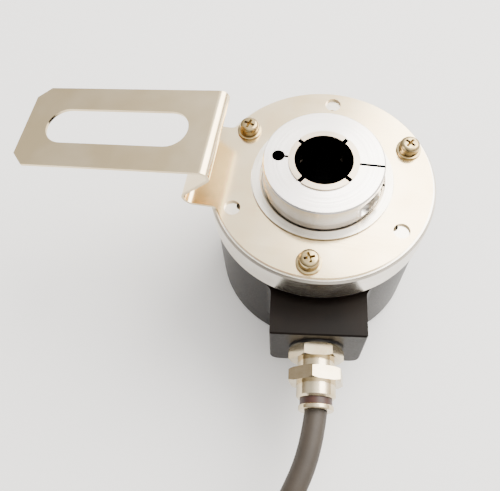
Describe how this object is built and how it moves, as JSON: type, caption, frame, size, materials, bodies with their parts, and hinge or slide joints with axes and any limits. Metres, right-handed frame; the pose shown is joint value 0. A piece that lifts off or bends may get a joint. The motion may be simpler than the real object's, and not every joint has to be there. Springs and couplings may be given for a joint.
{
  "type": "rotary encoder",
  "caption": "Through-hollow-shaft rotary encoder with clamp collar, slotted folded torque arm, black housing and a side cable gland with a coiled flying-lead cable.",
  "frame": {"origin": "on the shaft axis, in the flange's front face, where the stator plate seats", "axes": "+Z along the shaft axis, out of the front towards the clamp collar; -Y towards the cable gland; the torque arm leaves at 172.7 degrees from +X"},
  "size_m": [0.1832, 0.2623, 0.0796],
  "materials": {
    "flange_aluminium": "turned, clear anodised",
    "plate_steel": "rolled and polished sheet",
    "screw_steel": "nickel plated",
    "seal_rubber": "moulded nitrile",
    "bearing_steel": "ground and polished",
    "spacer_aluminium": "turned",
    "spring_steel": "phosphated",
    "housing_black": "moulded, fine texture",
    "nickel_brass": "nickel plated",
    "board_green": "solder mask",
    "chip_black": "moulded",
    "header_white": "moulded",
    "led_clear": "clear epoxy",
    "code_glass": "polished, chrome tracks",
    "gland_rubber": "moulded",
    "cable_jacket": "extruded PVC, satin",
    "core_insulation": "extruded PVC",
    "tie_fabric": "hook and loop tape",
    "sleeve_black": "shrink tube",
    "shaft_steel": "ground stainless",
    "collar_aluminium": "turned",
    "clamp_steel": "bright zinc plated",
    "cage_brass": "pressed"
  },
  "bodies": {
    "stator": {"board_chips": "chip_black", "cable_coil": "cable_jacket", "cable_entry": "cable_jacket", "cable_lead": "cable_jacket", "coil_ties": "tie_fabric", "end_sleeve": "sleeve_black", "front_bearing_outer_race": "bearing_steel", "front_bearing_shields": "bearing_steel", "front_flange": "flange_aluminium", "front_seal": "seal_rubber", "front_standoffs": "nickel_brass", "gland_body": "nickel_brass", "gland_clamp_ring": "nickel_brass", "gland_locknut": "nickel_brass", "gland_nut": "nickel_brass", "gland_seal": "gland_rubber", "gland_washer": "seal_rubber", "housing": "housing_black", "housing_o_ring": "seal_rubber", "housing_screws": "screw_steel", "hub_retaining_ring": "spring_steel", "inner_cores": "core_insulation", "lead_wires": "core_insulation", "led_emitter": "led_clear", "led_holder": "chip_black", "main_board": "board_green", "outer_spacer": "spacer_aluminium", "plate_flat_washers": "screw_steel", "plate_screws": "screw_steel", "plate_spring_washers": "screw_steel", "rear_bearing_outer_race": "bearing_steel", "rear_bearing_shields": "bearing_steel", "rear_seal": "seal_rubber", "rear_standoffs": "nickel_brass", "reticle": "code_glass", "sensor_block": "chip_black", "stator_plate": "plate_steel", "wave_spring": "spring_steel", "wire_header": "header_white"},
    "rotor": {"hollow_shaft": "shaft_steel", "clamp_collar": "collar_aluminium", "clamp_screw": "clamp_steel", "front_bearing_inner_race": "bearing_steel", "rear_bearing_inner_race": "bearing_steel", "inner_spacer": "spacer_aluminium", "shaft_retaining_ring": "spring_steel", "disc_hub": "spacer_aluminium", "code_disc": "code_glass"},
    "front_cage": {"front_bearing_balls": "bearing_steel", "front_bearing_cage": "cage_brass"},
    "rear_cage": {"rear_bearing_balls": "bearing_steel", "rear_bearing_cage": "cage_brass"}
  },
  "joints": [
    {"name": "shaft_spin", "type": "hinge", "parent": "stator", "child": "rotor", "pos_m": [0, 0, 0], "axis": [0, 0, 1], "continuous": true},
    {"name": "front_cage_spin", "type": "hinge", "parent": "stator", "child": "front_cage", "pos_m": [0, 0, -0.0075], "axis": [0, 0, 1], "continuous": true},
    {"name": "rear_cage_spin", "type": "hinge", "parent": "stator", "child": "rear_cage", "pos_m": [0, 0, -0.0225], "axis": [0, 0, 1], "continuous": true}
  ],
  "couplings": [
    {"joint": "front_cage_spin", "follows": "shaft_spin", "ratio": 0.4435},
    {"joint": "rear_cage_spin", "follows": "shaft_spin", "ratio": 0.4435}
  ]
}
